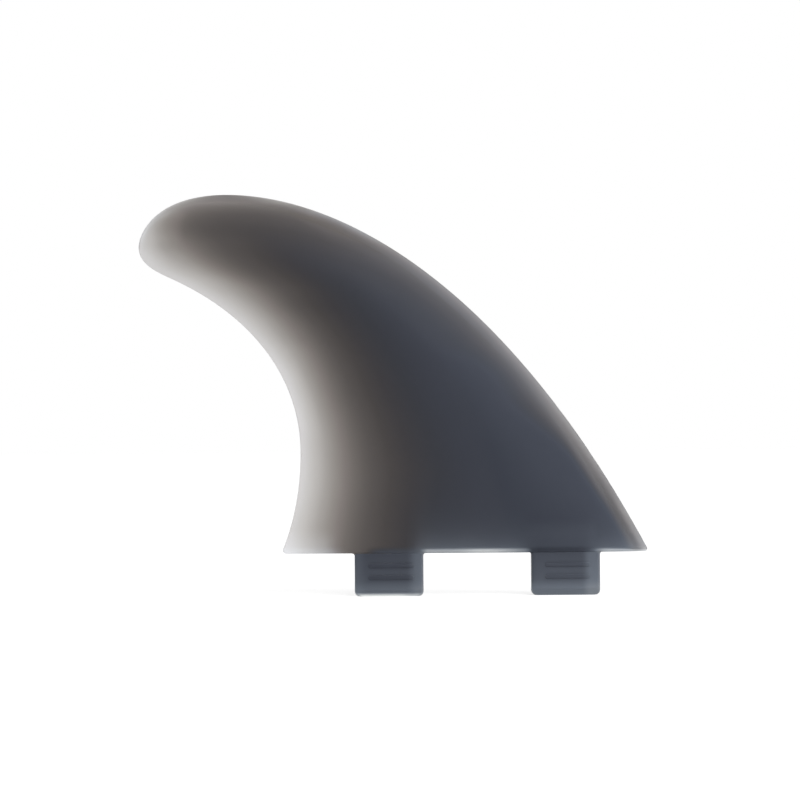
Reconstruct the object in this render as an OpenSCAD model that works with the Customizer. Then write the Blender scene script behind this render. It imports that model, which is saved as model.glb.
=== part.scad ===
// Surfboard fin with two base tabs, moulded as one piece.
// A swept, foiled blade stands on two tabs that drop into sockets in the board.
// The origin lies midway between the tabs, on the plane where the base meets the board.
// +X points to the nose of the board, +Z to the crest of the fin, and Y runs through its thickness.

/* [Outline] */
// Height of the blade above the board
depth = 115; // [104:0.1:124]
// Distance from the origin forward to the leading corner of the base
base_front = 55; // [50:0.1:60]
// Distance from the origin back to the trailing corner of the base
base_rear = 62.7; // [59:0.1:68]
// Distance from the origin back to the crest, the highest point
crest_back = 79.8; // [72:0.1:88]
// Distance from the origin back to the rearmost point of the tip
tip_back = 107.5; // [100:0.1:116]
// Drop from the crest down to the rearmost point of the tip
tip_drop = 16.8; // [13:0.1:20]

/* [Leading edge] */
// Angle between the board and the leading edge where it leaves the base
lead_angle = 62.2; // [56:0.1:68]
// How far the leading edge keeps that angle
lead_pull = 98.4; // [85:0.1:104]
// How far the crest stays level ahead of its highest point
crest_pull = 35.9; // [28:0.1:44]
// How far the crest stays level behind its highest point
crest_tail_pull = 22.3; // [16:0.1:26]
// How far the end of the tip stays upright above its rearmost point
tip_upper_pull = 4.7; // [2:0.1:8]

/* [Trailing edge] */
// Distance from the origin back to the waist, where the trailing edge is upright
waist_back = 56.2; // [52:0.1:58]
// Height of the waist above the board
waist_height = 32.7; // [26:0.1:38]
// Angle between the board and the trailing edge where it leaves the base
root_angle = 66; // [60:0.5:76]
// How far the trailing edge keeps that angle
root_pull = 9.2; // [4:0.1:12]
// How far the trailing edge stays upright below the waist
waist_lower_pull = 13; // [8:0.1:16]
// How far the trailing edge stays upright above the waist
waist_upper_pull = 20; // [16:0.1:26]
// Distance from the tip's rearmost point forward to the heel, where the hollow turns into the tip
heel_ahead = 10.5; // [8:0.1:14]
// Drop from the tip's rearmost point down to the heel
heel_drop = 10; // [9:0.1:13]
// Slope of the trailing edge at the heel
heel_angle = 25; // [18:0.5:32]
// How straight the hollow runs into the heel
hollow_pull = 32.4; // [24:0.1:34]
// How straight the tip leaves the heel
heel_pull = 4.4; // [3:0.1:8]
// How far the end of the tip stays upright below its rearmost point
tip_lower_pull = 5.5; // [3:0.1:7]

/* [Foil] */
// Greatest thickness of the blade, at the base
root_t = 8; // [6.5:0.1:10]
// Thickness of the blunt, round leading edge
lead_t = 1.4; // [0.8:0.05:2]
// Thickness of the trailing edge
edge_t = 0.6; // [0.4:0.05:1.2]
// Place of the greatest thickness, as a share of the chord from the leading edge
thick_at = 0.34; // [0.28:0.01:0.45]
// The same share at the tip
tip_thick_at = 0.46; // [0.36:0.01:0.55]
// Sharpness of the foil behind the leading edge at the base, where 0.5 is a half ellipse and 1 a parabola
root_sharpness = 0.56; // [0.5:0.01:1]
// The same sharpness half-way up
sharpness = 1; // [0.6:0.01:1.2]
// The same sharpness at the tip
tip_sharpness = 0.6; // [0.5:0.01:1]
// How long the foil holds its thickness towards the trailing edge
tail_hold = 2; // [1.6:0.05:2.6]
// How hollow the lower foil runs out into the trailing edge
tail_hollow = 1.5; // [1.1:0.05:2]
// The same hollowness at the shoulder, under the tip
shoulder_hollow = 2.2; // [1.1:0.05:2.6]
// The same hollowness at the tip, where less than 1 is rounded
tip_hollow = 0.6; // [0.4:0.05:1.2]
// Height at which the leading edge reaches its full sharpness
sharp_height = 48; // [30:1:60]
// Height of the shoulder, where the foil begins to change into the tip
shoulder_height = 88; // [80:1:95]
// Height at which that change is done
tip_height = 110; // [100:1:113]
// How far up the blade keeps its thickness before it thins to the crest
tip_hold = 4.8; // [3:0.1:6]

/* [Tabs] */
// Length of each tab along the board
tab_l = 22; // [20:0.1:24]
// Thickness of each tab
tab_t = 6.2; // [5.8:0.05:6.6]
// Depth that each tab goes into the board
tab_depth = 13.7; // [12:0.1:16]
// Distance between the middles of the two tabs
tab_spacing = 56.4; // [53:0.1:60]
// Radius of the lower corners, seen from the side
tab_corner_r = 1.6; // [0.8:0.1:3]
// Radius of the upright edges
tab_edge_r = 0.9; // [0.3:0.1:1.5]
// Height of the bevel that leads each tab into its socket
bevel_h = 1.6; // [0.5:0.1:3]
// Width of that bevel
bevel_w = 0.5; // [0.2:0.1:1]
// Radius of the fillet where the ends of a tab meet the base
root_fillet_r = 0.8; // [0.3:0.1:1.5]

/* [Smoothness] */
// Number of sections stacked up the blade
levels = 52; // [30:2:60]
// Number of steps along each side of a section
steps = 26; // [16:2:32]

/* [Hidden] */
$fn = 48;
smoke = [0.22, 0.23, 0.26];

base_front_corner = [base_front, 0];
base_rear_corner = [-base_rear, 0];
crest = [-crest_back, depth];
tip = [-tip_back, depth - tip_drop];
waist = [-waist_back, waist_height];
heel = tip + [heel_ahead, -heel_drop];

// Unit vectors along the outline
function direction(angle) = [cos(angle), sin(angle)];
up = direction(90);
forward = direction(0);

// Cubic curves of the side outline, each from its lower end to its upper end
lead_curve = [
    base_front_corner,
    base_front_corner + lead_pull * direction(180 - lead_angle),
    crest + crest_pull * forward,
    crest
];
root_curve = [
    base_rear_corner,
    base_rear_corner + root_pull * direction(root_angle),
    waist - waist_lower_pull * up,
    waist
];
hollow_curve = [
    waist,
    waist + waist_upper_pull * up,
    heel + hollow_pull * direction(-heel_angle),
    heel
];
heel_curve = [
    heel,
    heel + heel_pull * direction(180 - heel_angle),
    tip - tip_lower_pull * up,
    tip
];
tip_curve = [
    tip,
    tip + tip_upper_pull * up,
    crest - crest_tail_pull * forward,
    crest
];
trail_curves = [root_curve, hollow_curve, heel_curve, tip_curve];

function bezier(c, t) =
    pow(1 - t, 3) * c[0] + 3 * pow(1 - t, 2) * t * c[1] + 3 * (1 - t) * t * t * c[2] + t * t * t * c[3];

// Place along a rising curve at height z, found by halving
function place_at(c, z, low = 0, high = 1, halvings = 26) =
    let (mid = (low + high) / 2)
    halvings == 0 ? mid
    : bezier(c, mid)[1] < z ? place_at(c, z, mid, high, halvings - 1)
    : place_at(c, z, low, mid, halvings - 1);

// x of a rising chain of curves at height z
function x_at(curves, z) =
    let (c = [for (c = curves) if (z <= c[3][1]) c][0])
    bezier(c, place_at(c, z))[0];

// Greatest thickness of the section at height z, which rounds to nothing at the crest
function section_t(z) = root_t * sqrt(1 - pow(z / depth, tip_hold));

// Softly changing value that is a at height low and b at height high
function blend(z, low, high, a, b) =
    let (s = min(max((z - low) / (high - low), 0), 1))
    a + (b - a) * s * s * (3 - 2 * s);

// Value with one setting at the base, one half-way up, one at the shoulder and one at the tip
function by_height(z, base, half, shoulder, tip) =
    z < sharp_height ? blend(z, 0, sharp_height, base, half)
    : z < shoulder_height ? blend(z, sharp_height, shoulder_height, half, shoulder)
    : blend(z, shoulder_height, tip_height, shoulder, tip);

// Thickness of a section at u along its chord, 0 at the leading edge and 1 at the trailing edge
function foil_t(u, z, chord) =
    let (
        full = section_t(z),
        lead = min(lead_t, full / 3),
        edge = min(edge_t, full / 3),
        at = by_height(z, thick_at, thick_at, thick_at, tip_thick_at),
        sharp = by_height(z, root_sharpness, sharpness, sharpness, tip_sharpness),
        hollow = by_height(z, tail_hollow, tail_hollow, shoulder_hollow, tip_hollow),
        round = sqrt(1 - pow(1 - min(2 * u * chord / lead, 1), 2))
    )
    u < at
    ? lead * round + (full - lead) * pow(1 - pow(1 - u / at, 2), sharp)
    : edge + (full - edge) * pow(1 - pow((u - at) / (1 - at), tail_hold), hollow);

// Closed section at height z, down one face from the leading edge and back along the other,
// with its steps bunched at both edges
function section(z) =
    let (
        front = x_at([lead_curve], z),
        chord = front - x_at(trail_curves, z),
        shares = [for (i = [0:steps]) (1 - cos(180 * i / steps)) / 2]
    )
    [
        for (u = shares) [front - u * chord, foil_t(u, z, chord) / 2, z],
        for (i = [steps:-1:1]) [front - shares[i] * chord, -foil_t(shares[i], z, chord) / 2, z]
    ];

// The blade is a stack of level foil sections between the leading and the trailing outline.
// They lie closer together towards the crest, where the outline turns level, and end in one point.
module blade() {
    ring = 2 * steps + 1;
    points = [
        for (i = [0:levels - 1]) each section(depth * sin(90 * i / levels)),
        [crest[0], 0, crest[1]]
    ];
    last = len(points) - 1;
    faces = [
        [for (j = [0:ring - 1]) j],
        for (i = [0:levels - 2], j = [0:ring - 1])
            let (a = i * ring + j, b = i * ring + (j + 1) % ring)
            each [[a, a + ring, b], [b, a + ring, b + ring]],
        for (j = [0:ring - 1])
            [last - ring + j, last, last - ring + (j + 1) % ring]
    ];
    polyhedron(points, faces);
}

// Rectangle with round corners, centred
module rounded_rectangle(length, width, r) {
    square([length - 2 * r, width], center = true);
    square([length, width - 2 * r], center = true);
    for (x = [-1, 1], y = [-1, 1])
        translate([x * (length / 2 - r), y * (width / 2 - r)]) circle(r);
}

// Cross-section of a tab across its thickness, bevelled at its lower end
module tab_end_profile() {
    polygon([
        [-tab_t / 2, 0],
        [-tab_t / 2, bevel_h - tab_depth],
        [bevel_w - tab_t / 2, -tab_depth],
        [tab_t / 2 - bevel_w, -tab_depth],
        [tab_t / 2, bevel_h - tab_depth],
        [tab_t / 2, 0]
    ]);
}

// One tab below the base, centred on x = 0: round upright edges, round lower corners, bevelled end
module tab() {
    intersection() {
        translate([0, 0, -tab_depth])
            linear_extrude(tab_depth) rounded_rectangle(tab_l, tab_t, tab_edge_r);
        rotate([90, 0, 0])
            linear_extrude(tab_t + 2, center = true) rounded_rectangle(tab_l, 2 * tab_depth, tab_corner_r);
        rotate([90, 0, 90])
            linear_extrude(tab_l + 2, center = true) tab_end_profile();
    }
}

// Thickness of the blade's base at x
function base_t(x) =
    let (chord = base_front + base_rear)
    foil_t((base_front - x) / chord, 0, chord);

// Fillet between the base and the end of a tab at x, on the side that dir points to.
// It is no wider than the flat of the tab's end or the blade above it.
module root_fillet(x, dir) {
    width = min(tab_t - 2 * tab_edge_r, base_t(x + dir * root_fillet_r));
    translate([x, 0, 0]) rotate([90, 0, 0]) linear_extrude(width, center = true)
        difference() {
            translate([dir * root_fillet_r / 2, -root_fillet_r / 2])
                square(root_fillet_r, center = true);
            translate([dir * root_fillet_r, -root_fillet_r]) circle(root_fillet_r);
        }
}

module fin() {
    color(smoke) {
        blade();
        for (side = [-1, 1]) {
            middle = side * tab_spacing / 2;
            translate([middle, 0, 0]) tab();
            for (dir = [-1, 1]) root_fillet(middle + dir * tab_l / 2, dir);
        }
    }
}

fin();
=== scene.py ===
import math

import bmesh
import bpy
import numpy as np
from mathutils import Matrix, Vector


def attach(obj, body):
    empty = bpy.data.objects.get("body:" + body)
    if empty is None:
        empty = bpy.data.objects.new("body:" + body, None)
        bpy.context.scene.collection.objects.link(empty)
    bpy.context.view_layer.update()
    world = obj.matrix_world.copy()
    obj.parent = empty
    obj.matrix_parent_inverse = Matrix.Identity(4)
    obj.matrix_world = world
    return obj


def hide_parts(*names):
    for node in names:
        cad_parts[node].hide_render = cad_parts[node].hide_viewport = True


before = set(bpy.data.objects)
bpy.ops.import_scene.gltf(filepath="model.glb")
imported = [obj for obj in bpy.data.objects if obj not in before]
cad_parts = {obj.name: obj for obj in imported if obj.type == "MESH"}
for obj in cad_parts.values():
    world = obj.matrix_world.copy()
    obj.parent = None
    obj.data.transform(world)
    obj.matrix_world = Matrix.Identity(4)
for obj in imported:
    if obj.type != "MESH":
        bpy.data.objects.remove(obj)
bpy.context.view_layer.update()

mm = 0.001
bpy.context.scene.view_settings.view_transform = "Standard"


def srgb(hexCode):
    # sRGB hex to the linear colour that the nodes want
    parts = [int(hexCode[i:i + 2], 16) / 255 for i in (1, 3, 5)]
    return tuple(c / 12.92 if c <= 0.04045 else ((c + 0.055) / 1.055) ** 2.4 for c in parts) + (1.0,)


def addNode(tree, kind, settings=None, links=None):
    # one node, with its properties or socket values and what feeds its sockets
    node = tree.nodes.new(kind)
    for key, value in (settings or {}).items():
        if isinstance(key, int) or key in node.inputs:
            node.inputs[key].default_value = value
        else:
            setattr(node, key, value)
    for key, source in (links or {}).items():
        tree.links.new(source, node.inputs[key])
    return node


def freshTree(owner):
    owner.use_nodes = True
    owner.node_tree.nodes.clear()
    return owner.node_tree


# Blade: side outline and foil, in millimetres
blade = {
    "depth": 115.0,             # height above the board
    "baseFront": 55.0,          # leading corner, ahead of the middle of the tabs
    "baseRear": 62.7,           # trailing corner, behind it
    "crestBack": 79.8,          # highest point
    "tipBack": 107.5, "tipDrop": 16.8,
    "leadAngle": 62.2, "leadPull": 98.4,
    "crestPull": 35.9, "crestTailPull": 22.3,
    "tipUpperPull": 4.7, "tipLowerPull": 5.5,
    "waistBack": 56.2, "waistHeight": 32.7,
    "waistLowerPull": 13.0, "waistUpperPull": 20.0,
    "rootAngle": 66.0, "rootPull": 9.2,
    "heelAhead": 10.5, "heelDrop": 10.0,
    "heelAngle": 25.0, "hollowPull": 32.4, "heelPull": 4.4,
    "rootThickness": 8.0,
    "leadThickness": 1.4, "edgeThickness": 0.6,
    "thickAt": 0.34, "tipThickAt": 0.46,        # shares of the chord
    "rootSharpness": 0.56, "sharpness": 1.0, "tipSharpness": 0.6,
    "tailHold": 2.0, "tailHollow": 1.5, "shoulderHollow": 2.2, "tipHollow": 0.6,
    "sharpHeight": 48.0, "shoulderHeight": 88.0, "tipHeight": 110.0,
    "tipHold": 4.8,
    "ridgeSlope": 26.0,         # steepest slope beside the parting line, so that light still gets through
    "ridgeWidth": 0.08,
    "baseRound": 0.12,          # moulded edge round the base
    "frontCornerRadius": 0.8, "rearCornerRadius": 1.1,    # lower corners, seen from the side
    "baseSteps": (0.25, 0.4, 0.55, 0.7, 0.85, 1.0, 1.15, 1.3, 1.5, 1.75, 2.0),   # sections close together there
    "levels": 150,              # sections up the blade
    "steps": 76,                # spaces along each face of a section
}


def along(angle):
    return np.array([math.cos(math.radians(angle)), math.sin(math.radians(angle))])


def cubic(points, count=900):
    t = np.linspace(0, 1, count)[:, None]
    a, b, c, d = (np.array(p, float) for p in points)
    return (1 - t) ** 3 * a + 3 * (1 - t) ** 2 * t * b + 3 * (1 - t) * t * t * c + t ** 3 * d


def outlineCurves(b):
    # leading and trailing edge, both from the base up to the crest
    front, rear = np.array([b["baseFront"], 0]), np.array([-b["baseRear"], 0])
    crest = np.array([-b["crestBack"], b["depth"]])
    tip = np.array([-b["tipBack"], b["depth"] - b["tipDrop"]])
    waist = np.array([-b["waistBack"], b["waistHeight"]])
    heel = tip + [b["heelAhead"], -b["heelDrop"]]
    up, ahead = along(90), along(0)
    lead = cubic([front, front + b["leadPull"] * along(180 - b["leadAngle"]), crest + b["crestPull"] * ahead, crest])
    trail = np.vstack([
        cubic([rear, rear + b["rootPull"] * along(b["rootAngle"]), waist - b["waistLowerPull"] * up, waist]),
        cubic([waist, waist + b["waistUpperPull"] * up, heel + b["hollowPull"] * along(-b["heelAngle"]), heel]),
        cubic([heel, heel + b["heelPull"] * along(180 - b["heelAngle"]), tip - b["tipLowerPull"] * up, tip]),
        cubic([tip, tip + b["tipUpperPull"] * up, crest - b["crestTailPull"] * ahead, crest]),
    ])
    return lead, trail


lead, trail = outlineCurves(blade)


def cornerCut(z, radius, angle):
    # how far a lower corner of that radius is drawn in at height z, where the edge rises at the angle
    slope = math.radians(angle)
    if z > radius * (1 + math.cos(slope)):
        return 0.0
    return radius / math.tan(slope / 2) - z / math.tan(slope) - math.sqrt(radius ** 2 - (radius - z) ** 2)


def frontCorner(b):
    # the round lower corner of the leading edge
    r, slope = b["frontCornerRadius"], b["leadAngle"]
    centre = np.array([b["baseFront"] - r / math.tan(math.radians(slope / 2)), r])
    return np.array([centre + r * along(angle) for angle in np.linspace(-90, 90 - slope, 40)])


nose = frontCorner(blade)
partingLine = np.vstack([nose, lead[lead[:, 1] > nose[-1, 1]], trail[-900:]])


def chordAt(z):
    # x of the leading and of the trailing edge at height z
    return np.interp(z, lead[:, 1], lead[:, 0]), np.interp(z, trail[:, 1], trail[:, 0])


def blend(z, low, high, a, b):
    # soft change from a at height low to b at height high
    s = np.clip((z - low) / (high - low), 0, 1)
    return a + (b - a) * s * s * (3 - 2 * s)


def byHeight(z, base, half, shoulder, tip):
    # setting with one value at the base, one half-way up, one at the shoulder and one at the tip
    low, middle, high = blade["sharpHeight"], blade["shoulderHeight"], blade["tipHeight"]
    lower, upper = blend(z, 0, low, base, half), blend(z, low, middle, half, shoulder)
    return np.where(z < low, lower, np.where(z < middle, upper, blend(z, middle, high, shoulder, tip)))


def foilThickness(u, z):
    # thickness at share u of the chord, counted from the leading edge
    b = blade
    z = np.clip(z, 0, b["depth"])
    front, rear = chordAt(z)
    full = b["rootThickness"] * np.sqrt(np.clip(1 - (z / b["depth"]) ** b["tipHold"], 1e-9, 1))
    nose, edge = np.minimum(b["leadThickness"], full / 3), np.minimum(b["edgeThickness"], full / 3)
    at = byHeight(z, b["thickAt"], b["thickAt"], b["thickAt"], b["tipThickAt"])
    sharp = byHeight(z, b["rootSharpness"], b["sharpness"], b["sharpness"], b["tipSharpness"])
    hollow = byHeight(z, b["tailHollow"], b["tailHollow"], b["shoulderHollow"], b["tipHollow"])
    bow = np.sqrt(1 - (1 - np.clip(2 * u * (front - rear) / nose, 0, 1)) ** 2)
    ahead = nose * bow + (full - nose) * (1 - (1 - np.clip(u / at, 0, 1)) ** 2) ** sharp
    aft = np.clip((u - at) / (1 - at), 0, 1)
    tail = edge + (full - edge) * (1 - aft ** b["tailHold"]) ** hollow
    return np.where(u < at, ahead, tail)


def toPartingLine(x, z):
    # distance from points of the side view to the leading edge or to the top of the tip
    gaps = [np.hypot(partingLine[:, 0] - a, partingLine[:, 1] - b).min() for a, b in zip(x, z)]
    return np.array(gaps)


def bladeSection(z, inset=0.0):
    # one closed foil section with a round trailing edge, drawn in by inset all round
    front, rear = chordAt(z)
    first = front - cornerCut(z, blade["frontCornerRadius"], blade["leadAngle"])
    last = rear + cornerCut(z, blade["rearCornerRadius"], blade["rootAngle"])
    u = (1 - np.cos(np.pi * np.arange(blade["steps"] + 1) / blade["steps"])) / 2
    x = first - u * (first - last)
    half = foilThickness((front - x) / (front - rear), z) / 2
    away = toPartingLine(x, np.full_like(u, z))
    half = np.minimum(half, blade["ridgeWidth"] / 2 + away * math.tan(math.radians(blade["ridgeSlope"])))
    half = half - np.minimum(inset, half * 0.6)
    r = half[-1]
    half = np.where(x - last < r, np.sqrt(np.clip((x - last) * (2 * r - x + last), 0, None)), half)
    ends = np.clip(1 - u / 0.02, 0, 1) - np.clip(1 - (1 - u) / 0.02, 0, 1)
    x = x - inset * ends
    face = list(zip(x, half))
    return [(xi, hi, z) for xi, hi in face] + [(xi, -hi, z) for xi, hi in face[-2:0:-1]]


def stackRings(bm, rings, capEnd=True):
    # joins rings of equal length into a closed skin
    rows = [[bm.verts.new(p) for p in ring] for ring in rings]
    for low, high in zip(rows[:-1], rows[1:]):
        for i in range(len(low)):
            j = (i + 1) % len(low)
            bm.faces.new((low[i], low[j], high[j], high[i]))
    bm.faces.new(rows[0][::-1])
    if capEnd:
        bm.faces.new(rows[-1])
    return rows


def meshObject(name, bm):
    bmesh.ops.recalc_face_normals(bm, faces=bm.faces)
    mesh = bpy.data.meshes.new(name)
    bm.to_mesh(mesh)
    bm.free()
    piece = bpy.data.objects.new(name, mesh)
    bpy.context.scene.collection.objects.link(piece)
    return piece


def makeBlade():
    b = blade
    bm = bmesh.new()
    rings = []
    for k in range(5):
        rise = b["baseRound"] * (1 - math.cos(math.pi / 2 * k / 5))
        inset = b["baseRound"] - math.sqrt(b["baseRound"] ** 2 - (b["baseRound"] - rise) ** 2)
        rings.append(bladeSection(rise, inset))
    heights = b["depth"] * np.sin(np.linspace(0, math.pi / 2, b["levels"]))[2:-1]
    for height in [b["baseRound"], *b["baseSteps"], *heights]:
        rings.append(bladeSection(height))
    last = stackRings(bm, rings, capEnd=False)[-1]
    top = bm.verts.new((-b["crestBack"], 0, b["depth"]))
    for i in range(len(last)):
        bm.faces.new((last[i], last[(i + 1) % len(last)], top))
    return meshObject("fin_blade", bm)


# Tabs: round upright edges, round lower corners, a bevel that leads them into their sockets
tab = {
    "length": 22.0, "thickness": 6.2, "depth": 13.7, "spacing": 56.4,
    "cornerRadius": 1.6,        # lower corners, seen from the side
    "edgeRadius": 0.9,          # upright edges
    "bevelHeight": 1.6, "bevelWidth": 0.5,
    "rootFillet": 0.8,
    "lip": 0.02,                # how far the top reaches into the base
    "flatSteps": (24, 5),       # spaces along the sides and across the ends
    "barLength": 14.4, "barHeight": 1.5,
    # how far each ring of a bar stands out from the face, and how far it is drawn in
    "barProfile": ((-0.3, 0.0), (0.0, 0.0), (0.05, 0.03), (0.08, 0.09), (0.1, 0.2), (0.1, 0.45), (0.1, 0.7)),
    "barSteps": 15,
    "barDrops": (4.0, 7.8),     # plain raised bars, below the base
    "barAhead": 0.6,
}


def roundedRing(halfL, halfW, r, z, middle):
    # rectangle with round corners, and points along its straights
    arcs = []
    for quarter, (sx, sy) in enumerate(((1, 1), (-1, 1), (-1, -1), (1, -1))):
        centre = np.array([middle + sx * (halfL - r), sy * (halfW - r)])
        arcs.append([centre + r * along(90 * quarter + 15 * k) for k in range(7)])
    ring = []
    for quarter, arc in enumerate(arcs):
        start, end = arc[-1], arcs[(quarter + 1) % 4][0]
        count = tab["flatSteps"][quarter % 2]
        ring += arc + [start + (end - start) * k / count for k in range(1, count)]
    return [(x, y, z) for x, y in ring]


def makeTab(middle):
    t = tab
    bm = bmesh.new()
    rise = [0.0, 0.05, 0.2, 0.45, 0.8, 1.2]
    rise += list(np.linspace(t["bevelHeight"], t["depth"] - t["rootFillet"], 15))
    rise += [t["depth"] - t["rootFillet"] * (1 - math.sin(math.pi / 2 * k / 5)) for k in range(1, 6)]
    rise += [t["depth"] + t["lip"]]
    rings = []
    for h in rise:
        halfL, halfW = t["length"] / 2, t["thickness"] / 2
        if h < t["cornerRadius"]:
            halfL -= t["cornerRadius"] - math.sqrt(t["cornerRadius"] ** 2 - (t["cornerRadius"] - h) ** 2)
        if h < t["bevelHeight"]:
            halfW -= t["bevelWidth"] * (1 - h / t["bevelHeight"])
        intoFillet = t["rootFillet"] - max(t["depth"] - h, 0)
        if intoFillet > 0:
            halfL += t["rootFillet"] - math.sqrt(t["rootFillet"] ** 2 - intoFillet ** 2)
        rings.append(roundedRing(halfL, halfW, t["edgeRadius"], h - t["depth"], middle))
    stackRings(bm, rings)
    return meshObject("fin_tab", bm)


def makeBar(middle, drop, side):
    # a low bar with round ends on the flat of a tab
    t = tab
    bm = bmesh.new()
    rings = []
    for out, inset in t["barProfile"]:
        r = t["barHeight"] / 2 - inset
        reach = t["barLength"] / 2 - inset - r
        front = [r * along(15 * k - 82.5) + [reach, 0] for k in range(12)]
        over = [(x, front[-1][1]) for x in np.linspace(reach, -reach, t["barSteps"])]
        half = front + over
        ring = half + [(-x, -z) for x, z in half]
        rings.append([(middle + t["barAhead"] + x, side * (t["thickness"] / 2 + out), z - drop) for x, z in ring])
    stackRings(bm, rings)
    return meshObject("fin_bar", bm)


def joinPieces(pieces, name):
    bm = bmesh.new()
    for piece in pieces:
        bm.from_mesh(piece.data)
        bpy.data.objects.remove(piece)
    return meshObject(name, bm)


def fuse(body, tool, name):
    # union of two closed skins, written to a plain mesh
    union = body.modifiers.new("union", "BOOLEAN")
    union.operation, union.solver, union.object, union.use_self = "UNION", "EXACT", tool, True
    graph = bpy.context.evaluated_depsgraph_get()
    mesh = bpy.data.meshes.new_from_object(body.evaluated_get(graph))
    piece = bpy.data.objects.new(name, mesh)
    bpy.context.scene.collection.objects.link(piece)
    for old in (body, tool):
        bpy.data.objects.remove(old)
    return piece


def makeFin():
    shell = makeBlade()
    print("blade lofted:", len(shell.data.polygons), "faces")
    extras = []
    for side in (-1, 1):
        middle = side * tab["spacing"] / 2
        extras.append(makeTab(middle))
        for drop in tab["barDrops"]:
            extras += [makeBar(middle, drop, face) for face in (-1, 1)]
    fin = fuse(shell, joinPieces(extras, "fin_tabs"), "fin_moulding")
    fin.data.transform(Matrix.Scale(mm, 4))
    fin.data.shade_smooth()
    fin.data.set_sharp_from_angle(angle=math.radians(40))
    print("tabs fused to the blade:", len(fin.data.polygons), "faces")
    return fin


fin = makeFin()


# How the moulding takes light, and the light painted into its colour: depths in mm of plastic, and painted light,
# standing for light the plastic gathers at its edges, underside and tabs, as a share of white
edgeLight = {
    "thinnest": 1.0, "crest": 112.3,            # the depth seen at the parting line is that 1 mm further in
    "deepest": 8.4, "deepestSoft": 0.4,         # past which it looks no darker, and how softly that sets in
    # painted shade: the blade made to look deeper just behind the leading edge, low down
    "heelOfNose": (4.0, 8.0), "heelTop": (20.0, 50.0), "heelShade": 0.8,
    # painted shade over the root of the front tab, and painted light just above it
    "shadeOverFrontTab": 0.4, "overRearTab": (-37.0, -31.0, -18.4, -17.2), "rearTabSeen": (0.2, 2.4), "aboveFrontTab": 0.015,
    "changes": (
        # share of the chord, height above the base, how much deeper it looks: painted shade where that is above 0,
        # painted light where below
        ((-2.0, -1.0, 0.015, 0.03), (-2, -1, 12, 20), -0.22),
        ((0.02, 0.07, 0.25, 0.36), (22, 34, 56, 68), 0.16),
        ((-2.0, -1.0, 0.08, 0.13), (62, 76, 96, 101), 0.06),
        ((0.45, 0.60, 2.0, 3.0), (-2, -1, 8, 28), 0.10),
        ((0.84, 0.90, 2.0, 3.0), (-2, -1, 1, 9), -0.16),
        ((0.90, 0.95, 2.0, 3.0), (34, 43, 58, 64), -0.08),
        ((0.84, 0.92, 2.0, 3.0), (62, 72, 98, 102), 0.08),
        ((0.40, 0.60, 0.80, 0.92), (78, 86, 99, 105), -0.10),
        ((-2.0, -1.0, 0.10, 0.28), (38, 58, 92, 102), 0.13),
        ((0.01, 0.03, 0.06, 0.09), (4, 12, 40, 54), 0.05),
        ((0.01, 0.025, 0.05, 0.07), (82, 86, 93, 97), 0.05),
        ((0.015, 0.03, 0.05, 0.08), (102, 106, 112, 114), 0.06),
        ((0.06, 0.10, 0.16, 0.24), (98, 103, 107, 110), -0.08),
        ((0.76, 0.84, 0.95, 0.99), (64, 70, 84, 89), 0.06),
        ((0.03, 0.06, 0.10, 0.16), (1, 5, 12, 20), 0.12),
        ((0.60, 0.90, 2.0, 3.0), (108, 113, 200, 201), 0.14),
        ((0.80, 0.86, 0.95, 0.98), (98, 102, 108, 111), -0.10),
        ((0.95, 0.985, 2.0, 3.0), (97, 101, 108, 111), 0.12),
    ),
    # painted light, as a share of white: along the leading edge and at the tip, at the lower front corner, as a line
    # along the underside, as a haze near the base, at the rear foot and corner, and on the tabs
    "leading": 0.06, "leadingReach": 3.9, "leadingTip": (0.11, 0.045), "tipReach": 1.6, "topReach": 3.0,
    "corner": 0.10, "cornerReach": 4.0,
    "line": 0.29, "lineMiddle": 0.24, "lineNose": 0.13, "lineTop": (0.75, 1.55), "lineFall": 0.6,
    "haze": 0.085, "hazeHeight": 4.2,
    "rearFoot": 0.08, "rearCorner": 0.06,
    "tabTop": 0.02, "tabRise": 0.0035, "tabFoot": 0.065,
    "rearTabShare": 0.75, "rearTabSole": 0.85, "tabEnd": 0.3, "barShade": 0.6,
}


def window(v, places):
    # 1 between the middle two places, falling to 0 at the outer two
    return blend(v, places[0], places[1], 0, 1) * blend(v, places[2], places[3], 1, 0)


def aboveRearTab(x, z):
    # how much of the rear tab is seen through the foot of the blade
    return window(x, edgeLight["overRearTab"]) * blend(z, *edgeLight["rearTabSeen"], 1, 0)


# painted light on the blade, standing for light the plastic gathers at its edges and underside
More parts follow.
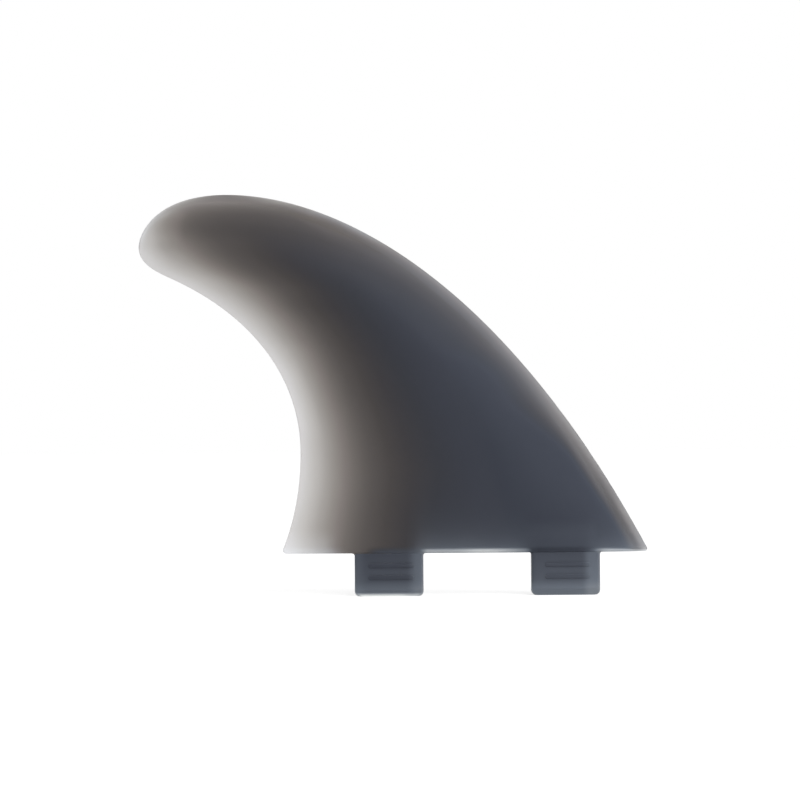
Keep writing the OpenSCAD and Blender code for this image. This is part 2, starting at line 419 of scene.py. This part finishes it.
def paintedLightAtBlade(x, z, away):
    e = edgeLight
    half, reach = tab["spacing"] / 2, tab["length"] / 2
    frontTab, rearTab = half + reach, reach - half                # front ends of both tabs
    fade = blend(x, 8, 16, 1, 0.6)
    strip = window(x, (rearTab - 0.6, rearTab + 1.4, half - reach - 1.5, half - reach))
    strip = np.maximum(strip * fade, blend(x, frontTab - 3, frontTab + 3, 0, 1))
    line = e["line"] + e["lineMiddle"] * np.exp(-((x - 2.5) / 6.5) ** 2) + e["lineNose"] * blend(x, 30, 40, 0, 1)
    line = line * blend(z + e["lineFall"] * blend(x, 30, 55, 0, 1), *e["lineTop"], 1, 0)
    clear = np.maximum(window(x, (rearTab - 5, rearTab + 1, half - reach - 6, half - reach + 2)),
                       blend(x, frontTab - 6, frontTab + 2, 0, 1))
    haze = e["haze"] * blend(x, -2, 6, 1.12, 0.9) * np.exp(-z / e["hazeHeight"])
    aboveTab = e["aboveFrontTab"] * window(x, (half - reach - 5, half - reach + 2, half + reach - 3, half + reach))
    aboveTab = aboveTab * window(z, (1.0, 2.2, 5.5, 11.0)) + e["tabTop"] * aboveRearTab(x, z)
    rearFoot = e["rearFoot"] * blend(x, -41, -48, 0, 1) * blend(z, 0.3, 2.5, 1, 0)
    rearCorner = e["rearCorner"] * blend(x, -43, -50, 0, 1) * blend(z, 0.8, 8.5, 1, 0)
    tip, top = e["leadingTip"]
    reachIn = e["leadingReach"] * blend(z, 38, 66, 1, 1.92)
    leading = e["leading"] * blend(z, 48, 68, 1, 0.52) * blend(z, 92, 102, 1, 0) * np.exp(-(away / reachIn) ** 2)
    leading = leading + top * blend(z, 107, 111, 0, 1) * np.exp(-(away / e["topReach"]) ** 2)
    leading = leading + tip * window(z, (97, 103, 108, 111)) * np.exp(-(away / e["tipReach"]) ** 2)
    corner = e["corner"] * np.exp(-(away + z) / e["cornerReach"])
    return line * strip + haze * clear + aboveTab + rearFoot + rearCorner + leading + corner


# painted light on the tabs, growing towards their soles and ends and dimmed on the bars
def paintedLightAtTab(x, z):
    e = edgeLight
    rear = x < 0
    ahead, down = x + np.where(rear, 1, -1) * tab["spacing"] / 2, -z
    face = e["tabTop"] + e["tabRise"] * down + e["tabFoot"] * blend(down, 8.5, 12, 0, 1)
    half = tab["barLength"] / 2
    rows = sum(window(down, (drop - 1.6, drop - 0.5, drop + 0.5, drop + 1.6)) for drop in tab["barDrops"])
    rows = rows * window(ahead - tab["barAhead"], (-half - 1, -half + 1, half - 1, half + 1))
    face = face * (1 - e["barShade"] * rows * np.where(rear, 1, 0.7))
    frontEnd = np.where(rear, blend(ahead, 5.4, 9.4, 0, 0.065), blend(ahead, 5.2, 7.8, 0, 0.068))
    frontEnd = frontEnd + blend(ahead, 10.2, 10.9, 0, e["tabEnd"])
    rearEnd = np.where(rear, blend(ahead, -7, -10.5, 0, 0.03), 0)
    sole = np.where(rear, e["rearTabSole"] * blend(down, 12.5, 13.2, 0, 1) * blend(ahead, 3, 8, 1, 0.6), 0)
    return face * np.where(rear, e["rearTabShare"], 1) + frontEnd + rearEnd + sole


def depthAndPaintedShade(x, z):
    # mm of plastic that the light crosses at points of the blade, made deeper for painted shade and shallower for
    # painted light in places
    e = edgeLight
    front, rear = chordAt(z)
    chord = np.maximum(front - rear, 0.01)
    u = np.clip((front - x) / chord, e["thinnest"] / np.maximum(chord, 4), 1)
    depth = foilThickness(u, np.minimum(z, e["crest"]))
    heel = blend(front - x, *e["heelOfNose"], 0, 1) * blend(z, *e["heelTop"], 1, 0)
    depth *= 1 + e["heelShade"] * heel * blend(u, 0.2, 0.4, 1, 0)
    for shares, heights, more in e["changes"]:
        depth *= 1 + more * window(u, shares) * window(z, heights)
    half, reach = tab["spacing"] / 2, tab["length"] / 2
    # painted shade along the base over the root of the front tab
    shadeOverTab = window(x, (half - reach - 2, half - reach + 1, half + reach - 8, half + reach - 3))
    depth = e["deepest"] - e["deepestSoft"] * np.log1p(np.exp((e["deepest"] - depth) / e["deepestSoft"]))
    depth = depth + aboveRearTab(x, z) * np.clip(smokePlastic["tabDepth"] - 0.3 - depth, 0, None)
    return depth + e["shadeOverFrontTab"] * shadeOverTab * blend(z, 0.9, 2.0, 1, 0)


def paintLight(piece):
    # writes both values at each point of the mesh: the depth with its painted shade, and the painted light
    mesh = piece.data
    co = np.zeros(len(mesh.vertices) * 3, np.float32)
    mesh.vertices.foreach_get("co", co)
    x, y, z = co.reshape(-1, 3).astype(float).T / mm
    onBlade = z > -0.03
    height = np.clip(z, 0, None)
    values = {
        "depthAndPaintedShade": np.where(onBlade, depthAndPaintedShade(x, height), smokePlastic["tabDepth"]),
        "paintedEdgeLight": np.where(onBlade, paintedLightAtBlade(x, height, toPartingLine(x, z)), paintedLightAtTab(x, z)),
    }
    for name, value in values.items():
        layer = mesh.attributes.new(name, "FLOAT", "POINT")
        layer.data.foreach_set("value", value.astype(np.float32))


# Smoke-tinted polycarbonate, injection moulded: nearly clear where it is thin, almost black where it
# is thick, under the soft sheen of a finely textured mould
smokePlastic = {
    "ior": 1.56,
    "roughness": (0.27, 0.33),                   # over patches of flowMm
    "flowMm": 14.0,                              # how far apart the melt set a little clearer or glossier
    "flowTint": "#fafafa",
    "grainMm": 0.5,                              # the mould's texture is about 0.1 mm, drawn coarser to show
    "grainHeight": 0.004,
    "reflectionTint": "#acb6cb",
    "absorbTint": "#e8ddcc",
    "absorbPerMm": 0.06,
    "depthRange": 9.0,
    "tabDepth": 7.9,
    "tints": (
        (0.0, "#ffffff"), (0.6, "#d4d2d2"), (0.8, "#c6c4c2"), (1.0, "#bcb9b6"), (1.5, "#a39f9b"), (2.0, "#8e8984"),
        (2.5, "#7c7571"), (3.0, "#6b6560"), (3.5, "#5d5752"), (4.0, "#514b46"), (5.0, "#3f3933"), (6.0, "#312c29"),
        (7.0, "#272628"), (7.7, "#25262d"), (8.4, "#1d1f27"), (9.0, "#000000"),
    ),
    # colours of the painted light, added onto the smoke tint
    "paintedLightTints": ((0.0, "#000000"), (0.12, "#59616b"), (0.5, "#b5bcc3"), (1.0, "#f8ffff")),
}


def colourRamp(tree, source, stops, span):
    # colours at given values of the source, which runs from 0 to span
    share = addNode(tree, "ShaderNodeMath", {"operation": "DIVIDE", 1: span}, {0: source})
    ramp = addNode(tree, "ShaderNodeValToRGB", {}, {"Fac": share.outputs[0]})
    elements = ramp.color_ramp.elements
    elements.remove(elements[1])
    for k, (at, code) in enumerate(stops):
        stop = elements[0] if k == 0 else elements.new(at / span)
        stop.position, stop.color = at / span, srgb(code)
    return ramp.outputs["Color"]


def makeSmokePlastic():
    p = smokePlastic
    material = bpy.data.materials.new("smoke_tinted_polycarbonate")
    tree = freshTree(material)
    depth = addNode(tree, "ShaderNodeAttribute", {"attribute_name": "depthAndPaintedShade"})
    glow = addNode(tree, "ShaderNodeAttribute", {"attribute_name": "paintedEdgeLight"})
    smoke = colourRamp(tree, depth.outputs["Fac"], p["tints"], p["depthRange"])
    # the painted light is added onto the smoke tint, and both are multiplied by the flow tone
    paintedLightColour = colourRamp(tree, glow.outputs["Fac"], p["paintedLightTints"], 1.0)
    lit = addNode(tree, "ShaderNodeMix", {"data_type": "RGBA", "blend_type": "ADD", "clamp_result": True, 0: 1.0})
    tree.links.new(smoke, lit.inputs[6])
    tree.links.new(paintedLightColour, lit.inputs[7])
    place = addNode(tree, "ShaderNodeTexCoord").outputs["Object"]
    flow = addNode(tree, "ShaderNodeTexNoise", {"Scale": 1 / (p["flowMm"] * mm), "Detail": 2.0}, {"Vector": place})
    tinted = addNode(tree, "ShaderNodeMix", {"data_type": "RGBA", 6: srgb("#ffffff"), 7: srgb(p["flowTint"])},
                     {0: flow.outputs["Fac"]})
    baseWithPaintedLight = addNode(tree, "ShaderNodeMix", {"data_type": "RGBA", "blend_type": "MULTIPLY", 0: 1.0},
                   {6: lit.outputs[2], 7: tinted.outputs[2]})
    low, high = p["roughness"]
    satin = addNode(tree, "ShaderNodeMapRange", {"To Min": low, "To Max": high}, {"Value": flow.outputs["Fac"]})
    grain = addNode(tree, "ShaderNodeTexNoise", {"Scale": 1 / (p["grainMm"] * mm), "Detail": 1.0}, {"Vector": place})
    skinBump = addNode(tree, "ShaderNodeBump", {"Strength": 1.0, "Distance": p["grainHeight"] * mm},
                       {"Height": grain.outputs["Fac"]})
    skin = addNode(tree, "ShaderNodeBsdfPrincipled", {
        "Transmission Weight": 1.0,
        "IOR": p["ior"],
        "Specular Tint": srgb(p["reflectionTint"]),
    }, {"Base Color": baseWithPaintedLight.outputs[2], "Roughness": satin.outputs[0], "Normal": skinBump.outputs[0]})
    inside = addNode(tree, "ShaderNodeVolumeAbsorption", {
        "Color": srgb(p["absorbTint"]),
        "Density": p["absorbPerMm"] / mm,
    })
    addNode(tree, "ShaderNodeOutputMaterial", {}, {"Surface": skin.outputs[0], "Volume": inside.outputs[0]})
    return material


paintLight(fin)
fin.data.materials.clear()
fin.data.materials.append(makeSmokePlastic())
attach(fin, "root")
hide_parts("fin")
print("fin dressed in", fin.data.materials[0].name)

# Where the photograph is taken from, in millimetres and in its own pixels
shot = {
    "mmPerPixel": 0.32,
    "framePixels": 800,
    "originPixel": (477.1, 552.3),   # the base, midway between the tabs
    "roll": 0.45,
    "distance": 1100.0,
    "sensor": 36.0,
}


def makeCamera():
    s = shot
    middle = s["framePixels"] / 2
    right = (middle - s["originPixel"][0]) * s["mmPerPixel"]
    up = (s["originPixel"][1] - middle) * s["mmPerPixel"]
    c, n = along(s["roll"])
    lens = bpy.data.cameras.new("camera")
    lens.sensor_width = s["sensor"]
    lens.lens = s["sensor"] * s["distance"] / (s["framePixels"] * s["mmPerPixel"])
    camera = bpy.data.objects.new("camera", lens)
    camera.location = Vector((right * c + up * n, -s["distance"], up * c - right * n)) * mm
    camera.rotation_euler = (math.radians(90), math.radians(s["roll"]), 0)
    bpy.context.scene.collection.objects.link(camera)
    bpy.context.scene.camera = camera


makeCamera()

# White paper floor, white surroundings and a soft lamp
studio = {
    "fill": 0.45,               # light from the surroundings, against 1 where they are seen
    "paper": "#f4f4f4",
    "paperGlow": 0.6,
    "floorReach": 3.0,
    "lamps": {
        "softbox_above": {"place": (0.9, -0.8, 1.1), "power": 6.0, "size": 0.8},
        "softbox_right": {"place": (0.57, -1.28, 0.2), "power": 10.0, "size": 1.4},
    },
}


def seenDirectly(tree):
    # 1 for what the camera looks at, by itself, in a reflection or through the plastic
    path = addNode(tree, "ShaderNodeLightPath")
    total = path.outputs["Is Camera Ray"]
    for ray in ("Is Glossy Ray", "Is Transmission Ray"):
        total = addNode(tree, "ShaderNodeMath", {"operation": "MAXIMUM"}, {0: total, 1: path.outputs[ray]}).outputs[0]
    return total


def makeStudio():
    s = studio
    world = bpy.data.worlds.new("studio")
    bpy.context.scene.world = world
    tree = freshTree(world)
    strength = addNode(tree, "ShaderNodeMapRange", {"To Min": s["fill"], "To Max": 1.0}, {"Value": seenDirectly(tree)})
    sky = addNode(tree, "ShaderNodeBackground", {"Color": srgb("#ffffff")}, {"Strength": strength.outputs[0]})
    addNode(tree, "ShaderNodeOutputWorld", {}, {"Surface": sky.outputs[0]})

    bm = bmesh.new()
    bmesh.ops.create_grid(bm, x_segments=1, y_segments=1, size=s["floorReach"])
    floor = meshObject("floor", bm)
    floor.location.z = -tab["depth"] * mm
    paper = bpy.data.materials.new("white_paper")
    floor.data.materials.append(paper)
    tree = freshTree(paper)
    glow = addNode(tree, "ShaderNodeMath", {"operation": "MULTIPLY", 1: s["paperGlow"]}, {0: seenDirectly(tree)})
    matte = addNode(tree, "ShaderNodeBsdfDiffuse", {"Color": srgb(s["paper"])})
    lit = addNode(tree, "ShaderNodeEmission", {"Color": srgb("#ffffff")}, {"Strength": glow.outputs[0]})
    both = addNode(tree, "ShaderNodeAddShader", {}, {0: matte.outputs[0], 1: lit.outputs[0]})
    addNode(tree, "ShaderNodeOutputMaterial", {}, {"Surface": both.outputs[0]})

    for name, l in s["lamps"].items():
        lamp = bpy.data.lights.new(name, "AREA")
        lamp.energy, lamp.shape, lamp.size = l["power"], "DISK", l["size"]
        softbox = bpy.data.objects.new(name, lamp)
        softbox.location = l["place"]
        softbox.rotation_euler = (-Vector(l["place"])).to_track_quat("-Z", "Y").to_euler()
        bpy.context.scene.collection.objects.link(softbox)


makeStudio()
print("studio, lamp and camera set")
